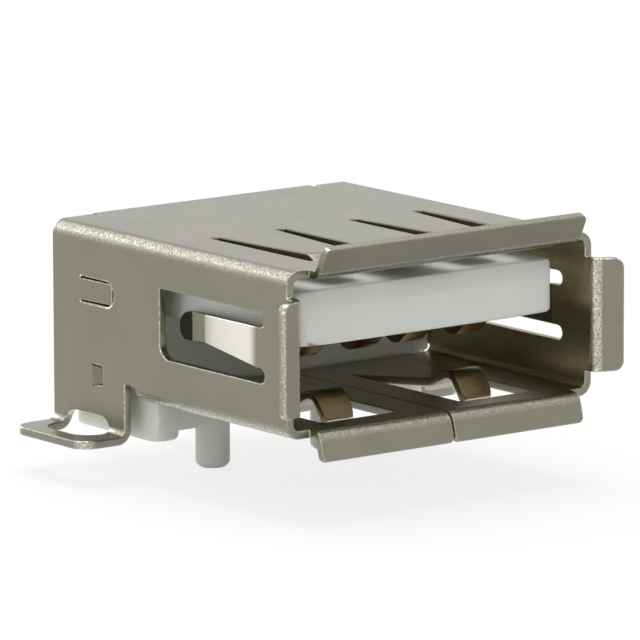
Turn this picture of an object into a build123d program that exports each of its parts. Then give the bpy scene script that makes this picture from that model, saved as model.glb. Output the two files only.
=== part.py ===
from build123d import *
from math import cos, radians, sin, tan
import os

# A right-angle, board-mounted USB-A socket. Lengths are in millimetres and angles in degrees.
# The mouth faces -Y and +Z is up. The origin lies on the board, midway between the two locating pegs.
# A size whose name ends in "_back" is a distance forward of the shell's rear edge.

# Mouth, the room that the plug goes into
mouth_width = 12.50
mouth_height = 5.12

# Shell, folded from one sheet
sheet = 0.30
fold_inside = 0.22
shell_above_board = 1.59
body_depth = 13.60
pegs_back = 3.78
floor_back = 4.78
seam_gap = 0.06

# Flared lips round the mouth
flare_radius = 0.45
lip_width = 11.20
lip_corner = 0.22
top_lip_angle = 65
top_lip_length = 0.86
bottom_lip_angle = 75
bottom_lip_length = 0.70
side_lip_height = 3.95
side_lip_corner = 0.36
side_lip_angle = 68
side_lip_length = 0.79
corner_relief_depth = 0.18

# Spring fingers in the floor and the roof, two of each
finger_centre = 2.98
finger_root_back = 6.45
finger_tip_round = 0.30
window_width = 3.19
window_corner = 0.20
floor_window_back = 12.75
floor_finger_tip_width = 1.30
floor_root_radius = 1.00
floor_knee_back = 10.05
floor_knee_rise = 0.30
floor_knee_radius = 0.80
floor_crest_back = 10.92
floor_crest_rise = 0.80
floor_crest_radius = 0.45
floor_tip_reach = 0.70
floor_tip_angle = 54
roof_window_back = 12.18
roof_slot_width = 0.38
roof_finger_tip_width = 1.55
roof_dip_start_back = 10.95
roof_dip_radius = 0.35
roof_crest_back = 11.50
roof_crest_dip = 0.38
roof_crest_radius = 0.30
roof_tip_back = 11.90
roof_tip_rise = 0.26

# Spring finger in each side
side_window_back = 6.24
side_window_height = 2.41
side_window_above_floor = 1.45
side_window_corner = 0.50
side_finger_root_back = 11.75
side_finger_root_width = 1.41
side_finger_root_radius = 0.60
side_finger_crest_back = 7.88
side_finger_crest_radius = 0.35
side_finger_depth = 0.65
side_finger_tip_width = 1.00
side_finger_tip_reach = 0.62
side_finger_tip_round = 0.42
side_slot_reach = 0.41
side_slot_width = 0.50

# Lanced catch and pressed mark in each side
catch_opening_height = 0.85
catch_above_floor = 3.21
catch_hinge_back = 1.64
catch_opening_back = 3.55
catch_width = 0.64
catch_length = 1.66
catch_inset = 0.22
catch_bend_radius = 0.40
catch_corner = 0.10
mark_back = 2.62
mark_length = 0.70
mark_height = 0.77
mark_corner = 0.18
mark_above_shell_base = 0.60
mark_depth = 0.13
mark_wall_slope = 40

# Legs and solder feet
leg_length = 4.18
leg_notch_height = 0.53
foot_bend_inside = 0.25
foot_reach = 8.35
foot_corner = 0.72
foot_hole_back = 2.00
foot_hole_length = 2.60
foot_rim = 0.70
foot_hole_corner = 0.75
leg_hole_height = 0.80
leg_hole_corner = 0.55

# Flap folded down over the rear
flap_width = 9.40
flap_behind = 0.55
flap_bend_inside = 0.20
flap_above_board = 2.60
flap_relief_width = 0.15
flap_relief_depth = 0.45

# Housing, one moulding
housing_clearance = 0.05
housing_back = 0.15
housing_fold_corner = 0.30
housing_rear_chamfer = 0.15
cavity_back = 4.80
base_side_gap = 0.50
base_above_board = 0.42
base_rear_back = 0.40
base_front_back = 5.00
pad_width = 1.30
pad_above_board = 0.05
pad_rear_back = 0.20
pad_rear_corner = 0.20
pad_front_back = 4.85
pad_front_corner = 0.60
pad_edge_round = 0.18
peg_diameter = 1.20
peg_spacing = 5.00
peg_below_board = 1.30
peg_chamfer = 0.16
tongue_width = 11.10
tongue_thickness = 1.84
tongue_above_floor = 2.62
tongue_back = 12.70
tongue_corner = 0.50
tongue_bevel_height = 0.60
tongue_bevel_depth = 0.17
catch_pocket_depth = 0.30

# Contacts, four formed strips
contact_thickness = 0.25
contact_width = 1.00
contact_tail_width = 0.70
outer_contact_x = 3.50
inner_contact_x = 1.00
contact_clearance = 0.05
contact_bend_inside = 0.10
contact_riser_back = 0.75
contact_taper_back = 1.60
contact_spring_back = 8.30
contact_spring_radius = 0.50
contact_crest_back = 10.23
contact_crest_drop = 1.03
contact_crest_radius = 0.50
contact_tip_back = 11.45
contact_tip_lift = 0.10
contact_tail_end = 1.20
tip_slot_rear_back = 9.00
tip_slot_front_back = 11.85
tip_slot_height = 0.80

# Places that follow from the sizes above
half_inside = mouth_width / 2
half_outside = half_inside + sheet
side_x = half_inside + sheet / 2
floor_top_z = shell_above_board + sheet
floor_mid_z = shell_above_board + sheet / 2
roof_low_z = floor_top_z + mouth_height
roof_mid_z = roof_low_z + sheet / 2
mouth_mid_z = floor_top_z + mouth_height / 2
rear_y = pegs_back
mouth_y = rear_y - body_depth
side_window_mid_z = floor_top_z + side_window_above_floor + side_window_height / 2
side_slot_lift = (side_window_height - side_slot_width) / 2
side_slot_back = side_finger_root_back + side_slot_reach
catch_z = floor_top_z + catch_above_floor
tongue_low_z = floor_top_z + tongue_above_floor
tongue_top_z = tongue_low_z + tongue_thickness
contact_room = contact_thickness + 2 * contact_clearance
beam_z = tongue_low_z + contact_room / 2
contact_xs = (-outer_contact_x, -inner_contact_x, inner_contact_x, outer_contact_x)


def y_at(distance_back):
    """The Y of a line this far forward of the shell's rear edge."""
    return rear_y - distance_back


def bent_strip(plane, corners, radii, thickness, width):
    """A strip that follows a bent centre line drawn on the plane, half its width to each side of it."""
    with BuildPart() as strip:
        with BuildSketch(plane):
            with BuildLine():
                FilletPolyline(*corners, radius=radii)
            trace(line_width=thickness)
        extrude(amount=width / 2, both=True)
    return strip.part


def spring_finger(corners, radii, root_width, tip_width, tip_round, taper_end, reach):
    """A finger that leaves its root along +X, tapers, and has a straight tip with rounded corners."""
    root = corners[0][0]
    with BuildPart() as finger:
        add(bent_strip(Plane.XZ, corners, radii, sheet, root_width))
        with BuildSketch(Plane.XY) as outline:
            with BuildLine():
                Polyline(
                    (root, root_width / 2),
                    (0, root_width / 2),
                    (taper_end, tip_width / 2),
                    (reach, tip_width / 2),
                    (reach, -tip_width / 2),
                    (taper_end, -tip_width / 2),
                    (0, -root_width / 2),
                    (root, -root_width / 2),
                    close=True,
                )
            make_face()
            fillet(outline.vertices().group_by(Axis.X)[-1], radius=tip_round)
        extrude(amount=mouth_height / 2, both=True, mode=Mode.INTERSECT)
    return finger.part


def flared_lip(width, corner, angle, length):
    """A lip that leaves its root along +X and curls up toward +Z, its rim corners rounded."""
    radius = flare_radius - sheet / 2
    tangent = radius * tan(radians(angle / 2))
    rise = tangent + length
    rim = (tangent + rise * cos(radians(angle)), rise * sin(radians(angle)))
    with BuildPart() as lip:
        add(bent_strip(Plane.XZ, [(-sheet, 0), (tangent, 0), rim], radius, sheet, width))
        short_edges = lip.edges().filter_by(lambda edge: abs(edge.length - sheet) < 0.001)
        fillet(short_edges.sort_by(Axis.X)[-2:], radius=corner)
    return lip.part


def foot(side):
    """A leg that runs down from one side of the shell and turns outward along the board."""
    bend = foot_bend_inside + sheet / 2
    corners = [
        (side * side_x, shell_above_board + leg_notch_height + sheet),
        (side * side_x, sheet / 2),
        (side * foot_reach, sheet / 2),
    ]
    hole_inner_x = half_inside - sheet
    hole_reach = foot_reach - foot_rim
    with BuildPart() as hole:
        with BuildSketch(Plane.XY.offset(-sheet)):
            with Locations((0, y_at(foot_hole_back))):
                RectangleRounded(2 * hole_reach, foot_hole_length, foot_hole_corner)
                Rectangle(2 * hole_inner_x, foot_hole_length, mode=Mode.SUBTRACT)
        extrude(amount=sheet + leg_hole_height)
        with BuildSketch(Plane.YZ.offset(-foot_reach)):
            with Locations((y_at(foot_hole_back), 0)):
                RectangleRounded(foot_hole_length, 2 * leg_hole_height, leg_hole_corner)
        extrude(amount=2 * foot_reach, mode=Mode.INTERSECT)
    with BuildPart() as leg:
        middle = Plane.XZ.offset(-y_at(leg_length / 2))
        add(bent_strip(middle, corners, bend, sheet, leg_length))
        outer_edges = leg.edges().filter_by(Axis.Z).group_by(Axis.X)[-1 if side > 0 else 0]
        fillet(outer_edges, radius=foot_corner)
        add(hole.part, mode=Mode.SUBTRACT)
    return leg.part


def placed(part, origin, along, curl):
    """The part, moved so that its +X runs along one direction and its +Z along another."""
    return part.moved(Plane(origin=origin, x_dir=along, z_dir=curl).location)


# Floor finger: a long shallow ramp, a steeper one up to its crest, then a short tip turned down
floor_crest = floor_crest_back - finger_root_back
floor_tip_drop = floor_tip_reach * tan(radians(floor_tip_angle))
floor_finger = spring_finger(
    [
        (-sheet, 0),
        (sheet / 2, 0),
        (floor_knee_back - finger_root_back, floor_knee_rise),
        (floor_crest, floor_crest_rise),
        (floor_crest + floor_tip_reach, floor_crest_rise - floor_tip_drop),
    ],
    [floor_root_radius, floor_knee_radius, floor_crest_radius],
    window_width,
    floor_finger_tip_width,
    finger_tip_round,
    floor_crest,
    floor_crest + floor_tip_reach + sheet * 0.4,
)

# Roof finger: level with the roof for most of its length, then a short dip into the mouth
roof_crest = roof_crest_back - finger_root_back
roof_tip = roof_tip_back - finger_root_back
roof_finger = spring_finger(
    [
        (-sheet, 0),
        (roof_dip_start_back - finger_root_back, 0),
        (roof_crest, roof_crest_dip),
        (roof_tip, roof_crest_dip - roof_tip_rise),
    ],
    [roof_dip_radius, roof_crest_radius],
    window_width - 2 * roof_slot_width,
    roof_finger_tip_width,
    finger_tip_round,
    roof_crest,
    roof_tip + sheet * 0.3,
)

# Side finger: rooted at the front, it slopes in toward the rear and its tip turns back out
side_crest = side_finger_root_back - side_finger_crest_back
side_finger = spring_finger(
    [
        (-sheet, 0),
        (sheet / 4, 0),
        (side_crest, side_finger_depth),
        (side_crest + side_finger_tip_reach, side_finger_depth - side_finger_tip_reach),
    ],
    [side_finger_root_radius, side_finger_crest_radius],
    side_finger_root_width,
    side_finger_tip_width,
    side_finger_tip_round,
    side_crest,
    side_crest + side_finger_tip_reach + sheet * 0.35,
)

# Catch: a small tab, hinged at the rear, that is bent in to hold the housing
catch = spring_finger(
    [(-sheet, 0), (sheet / 4, 0), (catch_length, catch_inset)],
    [catch_bend_radius],
    catch_width,
    catch_width,
    catch_corner,
    catch_length / 2,
    catch_length,
)

with BuildPart() as shell:
    # Tube of sheet round the mouth
    with BuildSketch(Plane.XZ.offset(-rear_y)):
        with Locations((0, mouth_mid_z)):
            RectangleRounded(mouth_width + 2 * sheet, mouth_height + 2 * sheet, fold_inside + sheet)
            RectangleRounded(mouth_width, mouth_height, fold_inside, mode=Mode.SUBTRACT)
    extrude(amount=body_depth)

    # The folded corners stop short of the mouth, between the roots of the lips
    with BuildSketch(Plane.XZ.offset(-mouth_y)):
        with Locations((0, mouth_mid_z)):
            with GridLocations(2 * half_outside, mouth_height + 2 * sheet, 2, 2):
                Rectangle(2 * half_outside - lip_width, mouth_height + 2 * sheet - side_lip_height)
    extrude(amount=-corner_relief_depth, mode=Mode.SUBTRACT)

    # No floor under the housing, and the sides are cut short there
    with BuildSketch(Plane.XY.offset(shell_above_board - sheet)):
        with Locations((0, y_at(floor_back / 2))):
            Rectangle(2 * half_outside + sheet, floor_back)
    extrude(amount=sheet + leg_notch_height, mode=Mode.SUBTRACT)

    # Seam where the two edges of the sheet meet
    with BuildSketch(Plane.XY.offset(shell_above_board - sheet)):
        with Locations((0, y_at(body_depth / 2))):
            Rectangle(seam_gap, body_depth + sheet)
    extrude(amount=3 * sheet, mode=Mode.SUBTRACT)

    # Windows round the floor fingers
    floor_window_length = floor_window_back - finger_root_back
    with BuildSketch(Plane.XY.offset(shell_above_board - sheet)) as floor_windows:
        with Locations((0, y_at(finger_root_back + floor_window_length / 2))):
            with GridLocations(2 * finger_centre, 0, 2, 1):
                Rectangle(window_width, floor_window_length)
        fillet(floor_windows.vertices().group_by(Axis.Y)[0], radius=window_corner)
    extrude(amount=3 * sheet, mode=Mode.SUBTRACT)

    # Windows round the roof fingers, and the relief cuts beside the rear flap
    roof_window_length = roof_window_back - finger_root_back
    with BuildSketch(Plane.XY.offset(roof_low_z - sheet)) as roof_cuts:
        with Locations((0, y_at(finger_root_back + roof_window_length / 2))):
            with GridLocations(2 * finger_centre, 0, 2, 1):
                Rectangle(window_width, roof_window_length)
        fillet(roof_cuts.vertices().group_by(Axis.Y)[0], radius=window_corner)
        with Locations((0, rear_y)):
            Rectangle(flap_width + 2 * flap_relief_width, 2 * flap_relief_depth)
    extrude(amount=3 * sheet, mode=Mode.SUBTRACT)

    # Openings through both sides: a window with two slots ahead of it, and the opening of the catch
    side_window_length = side_finger_root_back - side_window_back
    side_slot_length = side_slot_back - side_finger_root_back + 2 * side_slot_width
    catch_straight = catch_opening_back - catch_hinge_back - catch_opening_height / 2
    with BuildSketch(Plane.YZ) as side_cuts:
        with Locations((y_at(side_window_back + side_window_length / 2), side_window_mid_z)):
            Rectangle(side_window_length, side_window_height)
        rear_low = side_cuts.vertices().group_by(Axis.Y)[0].sort_by(Axis.X)[-1]
        fillet(rear_low, radius=side_window_corner)
        with Locations((y_at(side_slot_back - side_slot_length / 2), side_window_mid_z)):
            with GridLocations(0, 2 * side_slot_lift, 1, 2):
                SlotOverall(side_slot_length, side_slot_width)
        with Locations((y_at(catch_hinge_back + catch_straight / 2), catch_z)):
            Rectangle(catch_straight, catch_opening_height)
        with Locations((y_at(catch_hinge_back + catch_straight), catch_z)):
            Circle(catch_opening_height / 2)
    extrude(amount=half_outside + sheet, both=True, mode=Mode.SUBTRACT)

    for side in (1, -1):
        # Pressed mark low on the side, with sloping walls
        with BuildSketch(Plane.YZ.offset(side * half_outside)):
            with Locations((y_at(mark_back), shell_above_board + mark_above_shell_base)):
                RectangleRounded(mark_length, mark_height, mark_corner)
        extrude(amount=-side * mark_depth, taper=mark_wall_slope, mode=Mode.SUBTRACT)

        add(foot(side))
        side_finger_root = (side * side_x, y_at(side_finger_root_back), side_window_mid_z)
        add(placed(side_finger, side_finger_root, (0, 1, 0), (-side, 0, 0)))
        catch_root = (side * side_x, y_at(catch_hinge_back), catch_z)
        add(placed(catch, catch_root, (0, -1, 0), (-side, 0, 0)))
        floor_finger_root = (side * finger_centre, y_at(finger_root_back), floor_mid_z)
        add(placed(floor_finger, floor_finger_root, (0, -1, 0), (0, 0, 1)))
        roof_finger_root = (side * finger_centre, y_at(finger_root_back), roof_mid_z)
        add(placed(roof_finger, roof_finger_root, (0, -1, 0), (0, 0, -1)))

        # The seam divides the lip below the mouth in two
        side_lip = flared_lip(side_lip_height, side_lip_corner, side_lip_angle, side_lip_length)
        add(placed(side_lip, (side * side_x, mouth_y, mouth_mid_z), (0, -1, 0), (side, 0, 0)))
        half_width = (lip_width - seam_gap) / 2
        half_x = (half_width + seam_gap) / 2
        half_lip = flared_lip(half_width, lip_corner, bottom_lip_angle, bottom_lip_length)
        add(placed(half_lip, (side * half_x, mouth_y, floor_mid_z), (0, -1, 0), (0, 0, -1)))

    top_lip = flared_lip(lip_width, lip_corner, top_lip_angle, top_lip_length)
    add(placed(top_lip, (0, mouth_y, roof_mid_z), (0, -1, 0), (0, 0, 1)))

    # Flap folded down over the rear
    flap_y = rear_y + flap_behind - sheet / 2
    flap_corners = [(y_at(2 * flap_relief_depth), roof_mid_z), (flap_y, roof_mid_z), (flap_y, flap_above_board)]
    add(bent_strip(Plane.YZ, flap_corners, flap_bend_inside + sheet / 2, sheet, flap_width))

housing_wall_x = half_inside - housing_clearance
housing_low_z = floor_top_z + housing_clearance
housing_high_z = roof_low_z - housing_clearance
base_top_z = shell_above_board - housing_clearance
base_width = mouth_width - 2 * base_side_gap
pad_length = pad_front_back - pad_rear_back
pad_x = (base_width - pad_width) / 2

with BuildPart() as housing:
    # Pads at the two sides of the base, just clear of the board
    with BuildSketch(Plane.XY.offset(pad_above_board)) as pads:
        with Locations((0, y_at(pad_rear_back + pad_length / 2))):
            with GridLocations(2 * pad_x, 0, 2, 1):
                Rectangle(pad_width, pad_length)
        fillet(pads.vertices().group_by(Axis.Y)[0], radius=pad_front_corner)
        fillet(pads.vertices().group_by(Axis.Y)[-1], radius=pad_rear_corner)
    extrude(amount=base_top_z - pad_above_board)
    fillet(housing.edges().group_by(Axis.Z)[0], radius=pad_edge_round)

    # Base, with a shelf that reaches forward under the shell's floor
    with BuildSketch(Plane.XY.offset(base_above_board)):
        with Locations((0, y_at((base_rear_back + base_front_back) / 2))):
            Rectangle(base_width, base_front_back - base_rear_back)
    extrude(amount=base_top_z - base_above_board)
    base_plug_back = floor_back - housing_clearance
    with BuildSketch(Plane.XY.offset(base_above_board)):
        with Locations((0, y_at((base_rear_back + base_plug_back) / 2))):
            Rectangle(base_width, base_plug_back - base_rear_back)
    extrude(amount=mouth_mid_z - base_above_board)

    # Locating pegs
    with BuildSketch(Plane.XY.offset(-peg_below_board)):
        with GridLocations(peg_spacing, 0, 2, 1):
            Circle(peg_diameter / 2)
    extrude(amount=peg_below_board + base_above_board)
    chamfer(housing.edges().group_by(Axis.Z)[0], length=peg_chamfer)

    # Body that fills the rear of the shell
    with BuildSketch(Plane.XZ.offset(-y_at(housing_back))):
        with Locations((0, (housing_low_z + housing_high_z) / 2)):
            RectangleRounded(2 * housing_wall_x, housing_high_z - housing_low_z, housing_fold_corner)
    extrude(amount=cavity_back - housing_back)
    chamfer(housing.faces().sort_by(Axis.Y)[-1].edges(), length=housing_rear_chamfer)

    # Tongue, bevelled along its upper front edge
    tongue_length = tongue_back - cavity_back
    with BuildSketch(Plane.XY.offset(tongue_low_z)) as tongue_plan:
        with Locations((0, y_at(cavity_back + tongue_length / 2))):
            Rectangle(tongue_width, tongue_length)
        fillet(tongue_plan.vertices().group_by(Axis.Y)[0], radius=tongue_corner)
    extrude(amount=tongue_thickness)
    tongue_front_y = y_at(tongue_back)
    with BuildSketch(Plane.YZ):
        with BuildLine():
            Polyline(
                (tongue_front_y, tongue_top_z - tongue_bevel_height),
                (tongue_front_y + tongue_bevel_depth, tongue_top_z),
                (tongue_front_y - tongue_bevel_depth, tongue_top_z),
                close=True,
            )
        make_face()
    extrude(amount=tongue_width, both=True, mode=Mode.SUBTRACT)

    # Pockets that the shell's catches spring into
    catch_pocket_length = catch_opening_back - catch_hinge_back + sheet
    with BuildSketch(Plane.YZ):
        with Locations((y_at((catch_hinge_back + catch_opening_back) / 2), catch_z)):
            Rectangle(catch_pocket_length, catch_opening_height)
    extrude(amount=housing_wall_x + sheet, both=True, mode=Mode.SUBTRACT)
    with BuildSketch(Plane.YZ):
        with Locations((y_at((catch_hinge_back + catch_opening_back) / 2), catch_z)):
            Rectangle(catch_pocket_length + sheet, catch_opening_height + sheet)
    extrude(amount=housing_wall_x - catch_pocket_depth, both=True)

    for contact_x in contact_xs:
        # Channel for the beam of a contact, open under the tongue and at the rear
        channel_width = contact_width + 2 * contact_clearance
        with BuildSketch(Plane.XY.offset(tongue_low_z)):
            with Locations((contact_x, y_at((housing_back + tip_slot_front_back) / 2))):
                Rectangle(channel_width, tip_slot_front_back - housing_back)
        extrude(amount=contact_room, mode=Mode.SUBTRACT)

        # Deeper slot that the tip of the contact moves in
        with BuildSketch(Plane.XY.offset(tongue_low_z)):
            with Locations((contact_x, y_at((tip_slot_rear_back + tip_slot_front_back) / 2))):
                Rectangle(channel_width, tip_slot_front_back - tip_slot_rear_back)
        extrude(amount=tip_slot_height, mode=Mode.SUBTRACT)

        # Upright slot for the riser, open at the rear
        riser_front_back = contact_riser_back + contact_thickness / 2 + contact_clearance
        with BuildSketch(Plane.XY):
            with Locations((contact_x, y_at(riser_front_back / 2))):
                Rectangle(contact_tail_width + 2 * contact_clearance, riser_front_back)
        extrude(amount=beam_z, mode=Mode.SUBTRACT)


def contact(contact_x):
    """One contact: tail on the board, riser, beam under the tongue, crest that meets the plug, and tip."""
    tail_z = contact_thickness / 2
    bend = contact_bend_inside + contact_thickness / 2
    corners = [
        (y_at(-contact_tail_end), tail_z),
        (y_at(contact_riser_back), tail_z),
        (y_at(contact_riser_back), beam_z),
        (y_at(contact_spring_back), beam_z),
        (y_at(contact_crest_back), beam_z - contact_crest_drop),
        (y_at(contact_tip_back), beam_z + contact_tip_lift),
    ]
    half_tail = contact_tail_width / 2
    half_beam = contact_width / 2
    narrow_y = y_at(contact_riser_back + contact_thickness)
    wide_y = y_at(contact_taper_back)
    with BuildPart() as strip:
        bends = [bend, bend, contact_spring_radius, contact_crest_radius]
        add(bent_strip(Plane.YZ.offset(contact_x), corners, bends, contact_thickness, contact_width))
        with BuildSketch(Plane.XY):
            with BuildLine():
                Polyline(
                    (contact_x - half_tail, y_at(-2 * contact_tail_end)),
                    (contact_x - half_tail, narrow_y),
                    (contact_x - half_beam, wide_y),
                    (contact_x - half_beam, mouth_y),
                    (contact_x + half_beam, mouth_y),
                    (contact_x + half_beam, wide_y),
                    (contact_x + half_tail, narrow_y),
                    (contact_x + half_tail, y_at(-2 * contact_tail_end)),
                    close=True,
                )
            make_face()
        extrude(amount=tongue_top_z, mode=Mode.INTERSECT)
    return strip.part


contact_power = contact(-outer_contact_x)
contact_data_minus = contact(-inner_contact_x)
contact_data_plus = contact(inner_contact_x)
contact_ground = contact(outer_contact_x)

shell.part.label = "shell"
housing.part.label = "housing"
contact_power.label = "contact_power"
contact_data_minus.label = "contact_data_minus"
contact_data_plus.label = "contact_data_plus"
contact_ground.label = "contact_ground"

os.makedirs("parts", exist_ok=True)
export_step(shell.part, "parts/shell.step")
export_step(housing.part, "parts/housing.step")
export_step(contact_power, "parts/contact_power.step")
export_step(contact_data_minus, "parts/contact_data_minus.step")
export_step(contact_data_plus, "parts/contact_data_plus.step")
export_step(contact_ground, "parts/contact_ground.step")
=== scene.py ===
import math

import bpy
from mathutils import Matrix, Vector


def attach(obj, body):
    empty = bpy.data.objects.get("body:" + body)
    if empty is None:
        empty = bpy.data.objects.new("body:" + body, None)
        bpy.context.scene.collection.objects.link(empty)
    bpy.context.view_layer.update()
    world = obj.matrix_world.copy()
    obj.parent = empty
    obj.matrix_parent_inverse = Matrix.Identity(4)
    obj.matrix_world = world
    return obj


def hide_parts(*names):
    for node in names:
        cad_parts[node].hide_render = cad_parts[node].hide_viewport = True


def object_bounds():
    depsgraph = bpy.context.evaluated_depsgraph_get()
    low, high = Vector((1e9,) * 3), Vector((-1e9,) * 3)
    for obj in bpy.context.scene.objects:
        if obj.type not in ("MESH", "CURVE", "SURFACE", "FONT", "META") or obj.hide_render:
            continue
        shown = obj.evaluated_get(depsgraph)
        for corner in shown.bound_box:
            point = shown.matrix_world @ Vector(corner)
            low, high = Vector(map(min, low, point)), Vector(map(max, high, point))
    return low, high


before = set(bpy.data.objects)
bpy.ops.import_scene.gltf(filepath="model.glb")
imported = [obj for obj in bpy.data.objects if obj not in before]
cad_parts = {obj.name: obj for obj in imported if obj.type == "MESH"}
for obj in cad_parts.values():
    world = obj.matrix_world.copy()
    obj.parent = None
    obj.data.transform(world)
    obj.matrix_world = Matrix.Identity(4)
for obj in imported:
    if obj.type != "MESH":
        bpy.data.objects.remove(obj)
cad_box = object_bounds()
MM = 0.001

bpy.context.scene.view_settings.view_transform = "Standard"

# Camera: a long lens in front of the socket, to the left of its mouth and a little above it
azimuth, elevation, roll = math.radians(-37.334), math.radians(10.536), math.radians(0.180)
aim = Vector((0, -3.22, 4.59)) * MM
distance, aside, above = 265.78 * MM, 0.206 * MM, 0.557 * MM
level = math.cos(elevation)
backward = Vector((math.sin(azimuth) * level, -math.cos(azimuth) * level, math.sin(elevation)))
level_right = Vector((math.cos(azimuth), math.sin(azimuth), 0))
level_up = backward.cross(level_right)
right = math.cos(roll) * level_right - math.sin(roll) * level_up
up = math.sin(roll) * level_right + math.cos(roll) * level_up
lens = bpy.data.cameras.new("camera")
lens.lens = 434.58
lens.sensor_width = 36
lens.clip_start, lens.clip_end = 0.01, 20
camera = bpy.data.objects.new("camera", lens)
bpy.context.scene.collection.objects.link(camera)
place = Matrix((right, up, backward)).transposed().to_4x4()
place.translation = aim + backward * distance - right * aside - up * above
camera.matrix_world = place
bpy.context.scene.camera = camera


def linear(code):
    """Linear colour of an sRGB hex code."""
    parts = [int(code[i : i + 2], 16) / 255 for i in (1, 3, 5)]
    return tuple(p / 12.92 if p <= 0.04045 else ((p + 0.055) / 1.055) ** 2.4 for p in parts) + (1,)


def add_node(tree, kind, inputs=None, **settings):
    """Adds a shader node, sets its options, and fills or links its inputs."""
    made = tree.nodes.new(kind)
    for option, value in settings.items():
        setattr(made, option, value)
    for socket, value in (inputs or {}).items():
        if isinstance(value, bpy.types.NodeSocket):
            tree.links.new(value, made.inputs[socket])
        else:
            made.inputs[socket].default_value = value
    return made


def new_material(name):
    """A material with an empty node tree, and its output node."""
    material = bpy.data.materials.new(name)
    material.use_nodes = True
    tree = material.node_tree
    tree.nodes.clear()
    return material, tree, add_node(tree, "ShaderNodeOutputMaterial")


def nickel_plated_steel():
    """Nickel over pressed steel sheet: a soft satin mirror, warm in tone, broken into specks at the folds, with
    painted highlights, painted dark reflections and painted shade in its colour.
    """
    material, tree, output = new_material("nickel_plated_pressed_steel")
    place = add_node(tree, "ShaderNodeTexCoord").outputs["Object"]
    # Grain of the plating. The real one is finer; it is drawn about 0.08 mm across so that it shows
    grain = add_node(
        tree, "ShaderNodeTexNoise", {"Vector": place, "Scale": 12500, "Detail": 2, "Roughness": 0.6}
    )
    # Clouds a few millimetres across, left by rolling and handling
    clouds = add_node(
        tree, "ShaderNodeTexNoise", {"Vector": place, "Scale": 420, "Detail": 3, "Roughness": 0.5}
    )
    tone = add_node(
        tree, "ShaderNodeMapRange", {"Value": clouds.outputs["Fac"], "From Min": 0.35, "From Max": 0.65}
    )
    plain = add_node(
        tree,
        "ShaderNodeMix",
        {0: tone.outputs["Result"], 6: linear("#838172"), 7: linear("#898678")},
        data_type="RGBA",
    )
    # On folds and broken edges the plating is stretched into specks, drawn about 0.07 mm across; their bright
    # colour is also a painted highlight
    fold_specks_and_highlight = add_node(tree, "ShaderNodeAttribute", attribute_name="fold_specks_and_highlight").outputs["Fac"]
    specks = add_node(
        tree, "ShaderNodeTexNoise", {"Vector": place, "Scale": 14000, "Detail": 2, "Roughness": 0.6}
    )
    speck = add_node(
        tree,
        "ShaderNodeMapRange",
        {"Value": specks.outputs["Fac"], "From Min": 0.42, "From Max": 0.62, "To Min": 0.2},
    )
    speck = add_node(tree, "ShaderNodeMath", {0: speck.outputs["Result"], 1: fold_specks_and_highlight}, operation="MULTIPLY")
    # Bright specks: partly the stretched plating, partly a painted highlight
    speckled_and_highlit = add_node(
        tree,
        "ShaderNodeMix",
        {0: speck.outputs[0], 6: plain.outputs[2], 7: linear("#E4E1D4")},
        data_type="RGBA",
    )
    # A painted highlight lies along the side fingers' slope, where it turns toward the rear, and fades out
    # before the bend at the root
    ramp_highlight = add_node(tree, "ShaderNodeAttribute", attribute_name="ramp_highlight").outputs["Fac"]
    along = add_node(tree, "ShaderNodeSeparateXYZ", {"Vector": place})
    fade = add_node(
        tree,
        "ShaderNodeMapRange",
        {"Value": along.outputs["Y"], "From Min": -8.05 * MM, "From Max": -7.35 * MM},
        interpolation_type="SMOOTHSTEP",
    )
    ramp_highlight = add_node(tree, "ShaderNodeMath", {0: ramp_highlight, 1: fade.outputs["Result"]}, operation="MULTIPLY")
    bright = add_node(
        tree,
        "ShaderNodeMix",
        {0: ramp_highlight.outputs[0], 6: speckled_and_highlit.outputs[2], 7: linear("#E6E4D8")},
        data_type="RGBA",
    )
    # Faces turned inward, and partly the floor's upward faces, take a lighter, browner tone, and the floor
    # fingers' crests a painted dark brown reflection
    inner = add_node(tree, "ShaderNodeAttribute", attribute_name="inner").outputs["Fac"]
    crest_reflection = add_node(tree, "ShaderNodeAttribute", attribute_name="crest_reflection").outputs["Fac"]
    browner = add_node(
        tree,
        "ShaderNodeMix",
        {0: inner, 6: bright.outputs[2], 7: linear("#A99C7E")},
        data_type="RGBA",
    )
    crest_reflected = add_node(
        tree,
        "ShaderNodeMix",
        {0: crest_reflection, 6: browner.outputs[2], 7: linear("#66573A")},
        data_type="RGBA",
    )
    # The side fingers' turned-out tips take a painted dark reflection, the pressed marks a little painted shade
    # and the upper lip a little painted dark reflection
    dark_reflection_and_shade = add_node(tree, "ShaderNodeAttribute", attribute_name="dark_reflection_and_shade").outputs["Fac"]
    colour = add_node(
        tree,
        "ShaderNodeMix",
        {0: dark_reflection_and_shade, 6: crest_reflected.outputs[2], 7: linear("#2A2823")},
        data_type="RGBA",
    )
    rough = add_node(
        tree,
        "ShaderNodeMapRange",
        {"Value": grain.outputs["Fac"], "From Min": 0.3, "From Max": 0.7, "To Min": 0.26, "To Max": 0.36},
    )
    height = add_node(tree, "ShaderNodeMath", {0: fold_specks_and_highlight, 1: 0.9, 2: 0.35}, operation="MULTIPLY_ADD")
    bump = add_node(
        tree,
        "ShaderNodeBump",
        {"Height": grain.outputs["Fac"], "Strength": height.outputs[0], "Distance": 0.006 * MM},
    )
    shader = add_node(
        tree,
        "ShaderNodeBsdfPrincipled",
        {
            "Base Color": colour.outputs[2],
            "Metallic": 1.0,
            "Roughness": rough.outputs["Result"],
            "Normal": bump.outputs["Normal"],
        },
    )
    tree.links.new(shader.outputs["BSDF"], output.inputs["Surface"])
    return material


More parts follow.
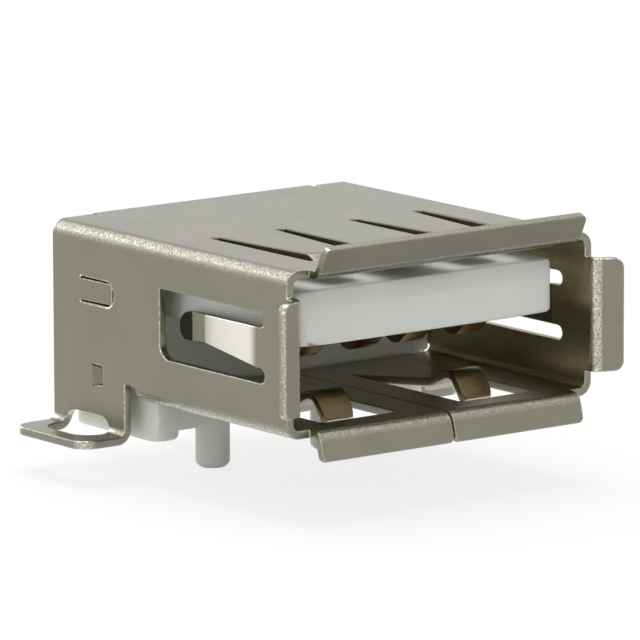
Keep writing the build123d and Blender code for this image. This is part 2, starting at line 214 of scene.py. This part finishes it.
def moulded_thermoplastic():
    """Moulded natural nylon with glass: a milky off-white that light soaks into, dull from tool texture."""
    material, tree, output = new_material("moulded_glass_filled_nylon")
    place = add_node(tree, "ShaderNodeTexCoord").outputs["Object"]
    # Tool texture, about 0.05 mm across
    grain = add_node(tree, "ShaderNodeTexNoise", {"Vector": place, "Scale": 20000, "Detail": 2})
    # Flow marks a millimetre or two across
    flow = add_node(tree, "ShaderNodeTexNoise", {"Vector": place, "Scale": 600, "Detail": 2})
    colour = add_node(
        tree,
        "ShaderNodeMix",
        {0: flow.outputs["Fac"], 6: linear("#D9DDD6"), 7: linear("#E0E3DC")},
        data_type="RGBA",
    )
    bump = add_node(
        tree, "ShaderNodeBump", {"Height": grain.outputs["Fac"], "Strength": 0.25, "Distance": 0.004 * MM}
    )
    shader = add_node(
        tree,
        "ShaderNodeBsdfPrincipled",
        {
            "Base Color": colour.outputs[2],
            "Roughness": 0.46,
            "IOR": 1.53,
            "Subsurface Weight": 0.75,
            "Subsurface Radius": (1.1 * MM, 1.15 * MM, 1.0 * MM),
            "Subsurface Scale": 1.0,
            "Normal": bump.outputs["Normal"],
        },
    )
    tree.links.new(shader.outputs["BSDF"], output.inputs["Surface"])
    return material


def gold_flashed_bronze():
    """Phosphor bronze strip with a thin flash of gold: a warm metal, smooth where it was rolled."""
    material, tree, output = new_material("gold_flashed_phosphor_bronze")
    place = add_node(tree, "ShaderNodeTexCoord").outputs["Object"]
    grain = add_node(tree, "ShaderNodeTexNoise", {"Vector": place, "Scale": 15000, "Detail": 2})
    clouds = add_node(tree, "ShaderNodeTexNoise", {"Vector": place, "Scale": 900, "Detail": 2})
    colour = add_node(
        tree,
        "ShaderNodeMix",
        {0: clouds.outputs["Fac"], 6: linear("#715B35"), 7: linear("#876F42")},
        data_type="RGBA",
    )
    bump = add_node(
        tree, "ShaderNodeBump", {"Height": grain.outputs["Fac"], "Strength": 0.2, "Distance": 0.004 * MM}
    )
    shader = add_node(
        tree,
        "ShaderNodeBsdfPrincipled",
        {
            "Base Color": colour.outputs[2],
            "Metallic": 1.0,
            "Roughness": 0.30,
            "Normal": bump.outputs["Normal"],
        },
    )
    tree.links.new(shader.outputs["BSDF"], output.inputs["Surface"])
    return material


def deselect_all():
    """Leaves edit mode and selects nothing."""
    if bpy.context.object and bpy.context.object.mode != "OBJECT":
        bpy.ops.object.mode_set(mode="OBJECT")
    bpy.ops.object.select_all(action="DESELECT")


def merge_faces(piece):
    """Merges doubled points, drops faces with no area and joins the triangles of each flat face."""
    deselect_all()
    piece.select_set(True)
    bpy.context.view_layer.objects.active = piece
    bpy.ops.object.mode_set(mode="EDIT")
    bpy.ops.mesh.select_all(action="SELECT")
    bpy.ops.mesh.remove_doubles(threshold=0.001 * MM)
    bpy.ops.mesh.dissolve_degenerate(threshold=0.001 * MM)
    bpy.ops.mesh.dissolve_limited(angle_limit=math.radians(0.5))
    bpy.ops.mesh.delete_loose()
    bpy.ops.object.mode_set(mode="OBJECT")


def copy_of(node, name):
    """A new piece with the mesh of one solid of the frame, its triangles merged into whole faces."""
    deselect_all()
    piece = bpy.data.objects.new(name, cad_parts[node].data.copy())
    bpy.context.scene.collection.objects.link(piece)
    piece.select_set(True)
    bpy.context.view_layer.objects.active = piece
    bpy.ops.mesh.customdata_custom_splitnormals_clear()
    bpy.ops.object.mode_set(mode="EDIT")
    bpy.ops.mesh.select_all(action="SELECT")
    bpy.ops.mesh.mark_sharp(clear=True)
    merge_faces(piece)
    return piece


def edges_of(mesh):
    """Each edge of a mesh with the normals of the two faces beside it."""
    beside = {}
    for face in mesh.polygons:
        for key in face.edge_keys:
            beside.setdefault(key, []).append(face.normal)
    return [(edge, beside[edge.key]) for edge in mesh.edges if len(beside.get(edge.key, ())) == 2]


def soften(piece, plain_width, wide_width=None, is_wide=None, is_left=None):
    """Breaks the sharp edges: wider where is_wide, and not at all where is_left, says so of their middles."""
    mesh = piece.data
    widest = wide_width or plain_width
    weights = mesh.attributes.new("bevel_weight_edge", "FLOAT", "EDGE")
    for edge, (first, second) in edges_of(mesh):
        middle = (mesh.vertices[edge.vertices[0]].co + mesh.vertices[edge.vertices[1]].co) / 2
        if first.angle(second) > math.radians(40) and not (is_left and is_left(middle)):
            wide = is_wide and is_wide(middle)
            weights.data[edge.index].value = (wide_width if wide else plain_width) / widest
    bevel = piece.modifiers.new("bevel", "BEVEL")
    bevel.width = widest
    bevel.segments = 3 if wide_width else 2
    bevel.limit_method = "WEIGHT"
    bevel.use_clamp_overlap = False
    bevel.miter_outer = "MITER_ARC"
    bpy.context.view_layer.objects.active = piece
    bpy.ops.object.modifier_apply(modifier="bevel")
    piece.select_set(True)
    bpy.ops.object.mode_set(mode="EDIT")
    bpy.ops.mesh.select_all(action="SELECT")
    bpy.ops.mesh.remove_doubles(threshold=0.0001 * MM)
    bpy.ops.object.mode_set(mode="OBJECT")
    bpy.ops.object.shade_smooth_by_angle(angle=math.radians(35))
    # Large flat faces keep their own normals, and the narrow ones beside them take up the turn
    weighted = piece.modifiers.new("weighted", "WEIGHTED_NORMAL")
    weighted.keep_sharp = True
    bpy.ops.object.modifier_apply(modifier="weighted")


def finish_piece(piece, material, node):
    """Gives a piece its finish and its place in the frame."""
    piece.data.materials.clear()
    piece.data.materials.append(material)
    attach(piece, "root")
    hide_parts(node)


nickel = nickel_plated_steel()
nylon = moulded_thermoplastic()
bronze = gold_flashed_bronze()

# Shell. Places on it are told by "back", the distance ahead of its rear edge, and by "depth", the distance
# inside the outer face of a side wall
rear_y = 3.78 * MM
wall_x = 6.55 * MM
centre_z = 4.9 * MM
lips_back, behind_lips = 13.35 * MM, 13.3 * MM
catch_z = 5.1 * MM
finger_z = 4.545 * MM
mark_back, mark_z = 2.62 * MM, 2.19 * MM
shell = copy_of("shell", "shell_sheet")
mesh = shell.data

# A side finger's crest is moved rearward, and the tip behind it is made smaller and rounded at its end. The tip
# slopes outward, so places on it are told by the sum of back and depth
crest_back, crest_depth, moved_crest_back, tip_scale = 8.006 * MM, 0.624 * MM, 7.39 * MM, 0.58
tip_start, tip_length, tip_half_width = 8.424 * MM, 0.984 * MM, 0.5 * MM
round_start, round_length = 0.25, 0.8
for point in mesh.vertices:
    side = math.copysign(1, point.co.x)
    back, z, depth = rear_y - point.co.y, point.co.z, wall_x - abs(point.co.x)
    # The catch's tab is widened, lengthened and let out, so that its slits are narrow and its end shows
    if depth < 0.6 * MM and 1.7 * MM < back < 3.34 * MM and 4.77 * MM < z < 5.43 * MM:
        point.co.z = catch_z + (z - catch_z) * 1.2
        if back > 2.6 * MM:
            point.co.x += side * 0.13 * MM
            point.co.y -= 0.07 * MM
    if depth < 1.2 * MM and 6.8 * MM < back < 8.0 * MM and abs(z - finger_z) < 0.6 * MM:
        along = (tip_start - back - depth) / tip_length
        if along > round_start:
            half_width = tip_half_width * math.sqrt(max(1 - ((along - round_start) / round_length) ** 2, 0))
            point.co.z = finger_z + math.copysign(half_width, z - finger_z)
        point.co.y = rear_y - (moved_crest_back - (crest_back - back) * tip_scale)
        point.co.x = side * (wall_x - (crest_depth - (crest_depth - depth) * tip_scale))

# The sliver left of the pressed mark is levelled, and a whole mark is pressed in its place
for point in mesh.vertices:
    x, back, z = abs(point.co.x), rear_y - point.co.y, point.co.z
    near = abs(back - mark_back) < 0.45 * MM and abs(z - mark_z) < 0.45 * MM
    if near and wall_x - 0.14 * MM < x < wall_x - 0.001 * MM:
        point.co.x = math.copysign(wall_x, point.co.x)
merge_faces(shell)
for side in (-1, 1):
    deselect_all()
    bpy.ops.mesh.primitive_cube_add(size=1, location=(side * wall_x, rear_y - mark_back, mark_z))
    punch = bpy.context.object
    punch.scale = (0.24 * MM, 0.70 * MM, 0.77 * MM)
    bpy.ops.object.transform_apply(location=True, rotation=False, scale=True)
    # The punch went in deeper at the front
    for point in punch.data.vertices:
        if abs(point.co.x) < wall_x:
            ahead = point.co.y < rear_y - mark_back
            point.co.x -= side * (0.05 * MM if ahead else -0.10 * MM)
            point.co.y += 0.15 * MM if ahead else -0.01 * MM
            point.co.z += math.copysign(0.13 * MM if ahead else 0.02 * MM, mark_z - point.co.z)
    press = shell.modifiers.new("press", "BOOLEAN")
    press.operation = "DIFFERENCE"
    press.object = punch
    bpy.context.view_layer.objects.active = shell
    bpy.ops.object.modifier_apply(modifier="press")
    bpy.data.objects.remove(punch)
merge_faces(shell)


def is_rim(point):
    """Whether a point is on the rim of the catch's opening, or on the front or top of the pressed mark."""
    back, z = rear_y - point.y, point.z
    # The opening has straight sides and a round front end
    from_middle = math.hypot(max(back - 3.1 * MM, 0), z - catch_z)
    by_catch = 1.6 * MM < back < 3.62 * MM and 0.38 * MM < from_middle < 0.54 * MM
    at_front = 0.3 * MM < back - mark_back < 0.46 * MM and abs(z - mark_z) < 0.48 * MM
    at_top = 0.34 * MM < z - mark_z < 0.48 * MM and -0.1 * MM < back - mark_back < 0.46 * MM
    return abs(point.x) > wall_x - 0.1 * MM and (by_catch or at_front or at_top)


def is_outer_rim(middle):
    """Whether an edge of the rims lies on the outside of the wall."""
    return abs(middle.x) > wall_x - 0.001 * MM and is_rim(middle)


def on_side_tip(middle):
    """Whether an edge is on the tip of a side finger, which is too small to break further."""
    back, depth = rear_y - middle.y, wall_x - abs(middle.x)
    return 0.1 * MM < depth < 1.2 * MM and 6.8 * MM < back < 7.45 * MM and abs(middle.z - finger_z) < 0.6 * MM


soften(shell, 0.05 * MM, 0.09 * MM, is_outer_rim, on_side_tip)

# What the finish reads at each corner of a face: folded or broken with a painted highlight, inside, painted
# brown crest reflection, painted ramp highlight, painted dark reflection and shade
mesh = shell.data
names = ("fold_specks_and_highlight", "inner", "crest_reflection", "ramp_highlight", "dark_reflection_and_shade")
for name in names:
    mesh.attributes.new(name, "FLOAT", "CORNER")
fold_specks_and_highlight, inner, crest_reflection, ramp_highlight, dark_reflection_and_shade = (mesh.attributes[name].data for name in names)
normals = mesh.corner_normals
for face in mesh.polygons:
    centre, normal = face.center, face.normal
    side = math.copysign(1, centre.x)
    back, z, depth = rear_y - centre.y, centre.z, wall_x - abs(centre.x)
    outside = normal.x * centre.x + normal.z * (z - centre_z) > 0 or back > lips_back
    near_wall = depth < 0.3 * MM or z < 1.9 * MM or back > lips_back
    on_finger = 6.6 * MM < back < 12 * MM and abs(z - finger_z) < 0.72 * MM and depth > 0.001 * MM
    # Degrees that a face on a side finger is turned from the side toward the rear
    lean = math.degrees(math.atan2(normal.y, normal.x * side))
    faces_in = normal.x * side < -0.5 and depth < 0.5 * MM and back < behind_lips
    faces_up = normal.z > 0.9 and z < 2.4 * MM and back < behind_lips and depth > 0
    on_floor_finger = 10.3 * MM < back < 12.6 * MM and 0.9 * MM < abs(centre.x) < 5.1 * MM
    floor_crest = on_floor_finger and 1.3 * MM < z < 3.4 * MM
    wide_lip = back > lips_back and not 2.3 * MM < z < 6.8 * MM
    top_lip = wide_lip and z > 7 * MM and normal.y < -0.5
    in_mark = depth > 0.001 * MM and abs(back - mark_back) < 0.5 * MM and abs(z - mark_z) < 0.5 * MM
    for corner in face.loop_indices:
        turned = normals[corner].vector
        if outside and near_wall and face.area < 2.4 * MM * MM and not on_finger:
            tilt = 1 - max(abs(turned.x), abs(turned.y), abs(turned.z))
            # The painted highlight is brightest on the side lips' bends, and weaker on the wide lips above and
            # below
            fold_specks_and_highlight[corner].value = min(tilt / 0.2, 1) * (0.4 if wide_lip else 1)
            # The pressed mark gets no specks, only a painted shade in its hollow
            if in_mark:
                fold_specks_and_highlight[corner].value = 0
                dark_reflection_and_shade[corner].value = 0.22
            # The rims of the catch's opening and of the pressed mark take the full painted highlight
            if is_rim(centre) and face.area < 0.05 * MM * MM and normal.x * side > 0.3:
                fold_specks_and_highlight[corner].value = 1
        # Side fingers: faces turned toward the rear take the painted highlight, and the turned-out tip, facing
        # forward, a painted dark reflection
        if on_finger and normal.x * side > 0.3:
            ramp_highlight[corner].value = min(max(lean / 9, 0), 1)
            dark_reflection_and_shade[corner].value = min(max((-lean - 22) / 18, 0), 1)
        if faces_in:
            inner[corner].value = 1
        if faces_up:
            inner[corner].value = 0.6
        # The upper lip's front face takes a painted dark reflection
        if top_lip:
            dark_reflection_and_shade[corner].value = 0.25
        # The floor fingers' crests, where not turned rearward, take a painted dark brown reflection
        if floor_crest and normal.y < 0.1 and normal.z > -0.2 and abs(normal.z) < 0.995:
            crest_reflection[corner].value = 0.9
finish_piece(shell, nickel, "shell")


def on_tongue_end(middle):
    """Whether an edge is at the left or the right end of the tongue, which the mould rounds more."""
    back = rear_y - middle.y
    return abs(middle.x) > 5.04 * MM and 6 * MM < back < 12.8 * MM and middle.z > 4.2 * MM


housing = copy_of("housing", "housing_moulding")
# The lower corners of the back wall are drawn toward the folds of the shell, to fill them more closely
corner_x, corner_z, corner_scale = 6.2 * MM, 1.94 * MM, 0.35
for point in housing.data.vertices:
    x, back, z = abs(point.co.x), rear_y - point.co.y, point.co.z
    if x > 5.89 * MM and 3.6 * MM < back < 4.9 * MM and 1.9 * MM < z < 2.25 * MM:
        point.co.x = math.copysign(corner_x - (corner_x - x) * corner_scale, point.co.x)
        point.co.z = corner_z + (z - corner_z) * corner_scale
soften(housing, 0.04 * MM, 0.16 * MM, on_tongue_end)
finish_piece(housing, nylon, "housing")
for part in ("power", "data_minus", "data_plus", "ground"):
    strip = copy_of("contact_" + part, "contact_strip_" + part)
    soften(strip, 0.02 * MM)
    finish_piece(strip, bronze, "contact_" + part)


def is_seen(tree):
    """Adds nodes that give 1 where a ray shows something, and 0 where it only carries light."""
    ray = add_node(tree, "ShaderNodeLightPath")
    seen, glossy, through = (ray.outputs[f"Is {kind} Ray"] for kind in ("Camera", "Glossy", "Transmission"))
    seen = add_node(tree, "ShaderNodeMath", {0: seen, 1: glossy}, operation="MAXIMUM")
    seen = add_node(tree, "ShaderNodeMath", {0: seen.outputs[0], 1: through}, operation="MAXIMUM")
    return seen.outputs[0]


# Floor: a wide pale sheet just under the pegs
deselect_all()
bpy.ops.mesh.primitive_plane_add(size=6, location=(0, 0, cad_box[0].z - 0.02 * MM))
floor = bpy.context.object
floor.name = "floor"
paper, tree, output = new_material("pale_paper")
share = add_node(tree, "ShaderNodeMath", {0: is_seen(tree), 1: 0.8}, operation="MULTIPLY")
matt = add_node(tree, "ShaderNodeBsdfDiffuse", {"Color": linear("#F4F4F4")})
glow = add_node(tree, "ShaderNodeEmission", {"Color": (1, 1, 1, 1), "Strength": 1.0})
both = add_node(tree, "ShaderNodeMixShader", {0: share.outputs[0], 1: matt.outputs[0], 2: glow.outputs[0]})
tree.links.new(both.outputs[0], output.inputs["Surface"])
floor.data.materials.append(paper)

# Room: white where it is seen or mirrored, and a soft grey as a light
world = bpy.data.worlds.new("studio")
bpy.context.scene.world = world
world.use_nodes = True
world.node_tree.nodes.clear()
tree = world.node_tree
strength = add_node(tree, "ShaderNodeMapRange", {"Value": is_seen(tree), "To Min": 0.66, "To Max": 1.0})
sky = add_node(tree, "ShaderNodeBackground", {"Color": (1, 1, 1, 1), "Strength": strength.outputs["Result"]})
add_node(tree, "ShaderNodeOutputWorld", {"Surface": sky.outputs[0]})


def softbox(name, position, size, watts):
    """Adds a square area lamp that faces the socket."""
    lamp = bpy.data.lights.new(name, "AREA")
    lamp.shape = "SQUARE"
    lamp.size = size
    lamp.energy = watts
    holder = bpy.data.objects.new(name, lamp)
    bpy.context.scene.collection.objects.link(holder)
    holder.location = position
    holder.rotation_euler = (-Vector(position)).to_track_quat("-Z", "Y").to_euler()


softbox("overhead", (0.02, 0.05, 0.30), 0.22, 0.5)
softbox("behind", (-0.05, 0.34, 0.07), 0.20, 0.4)
softbox("left", (-0.33, -0.02, 0.07), 0.18, 0.12)
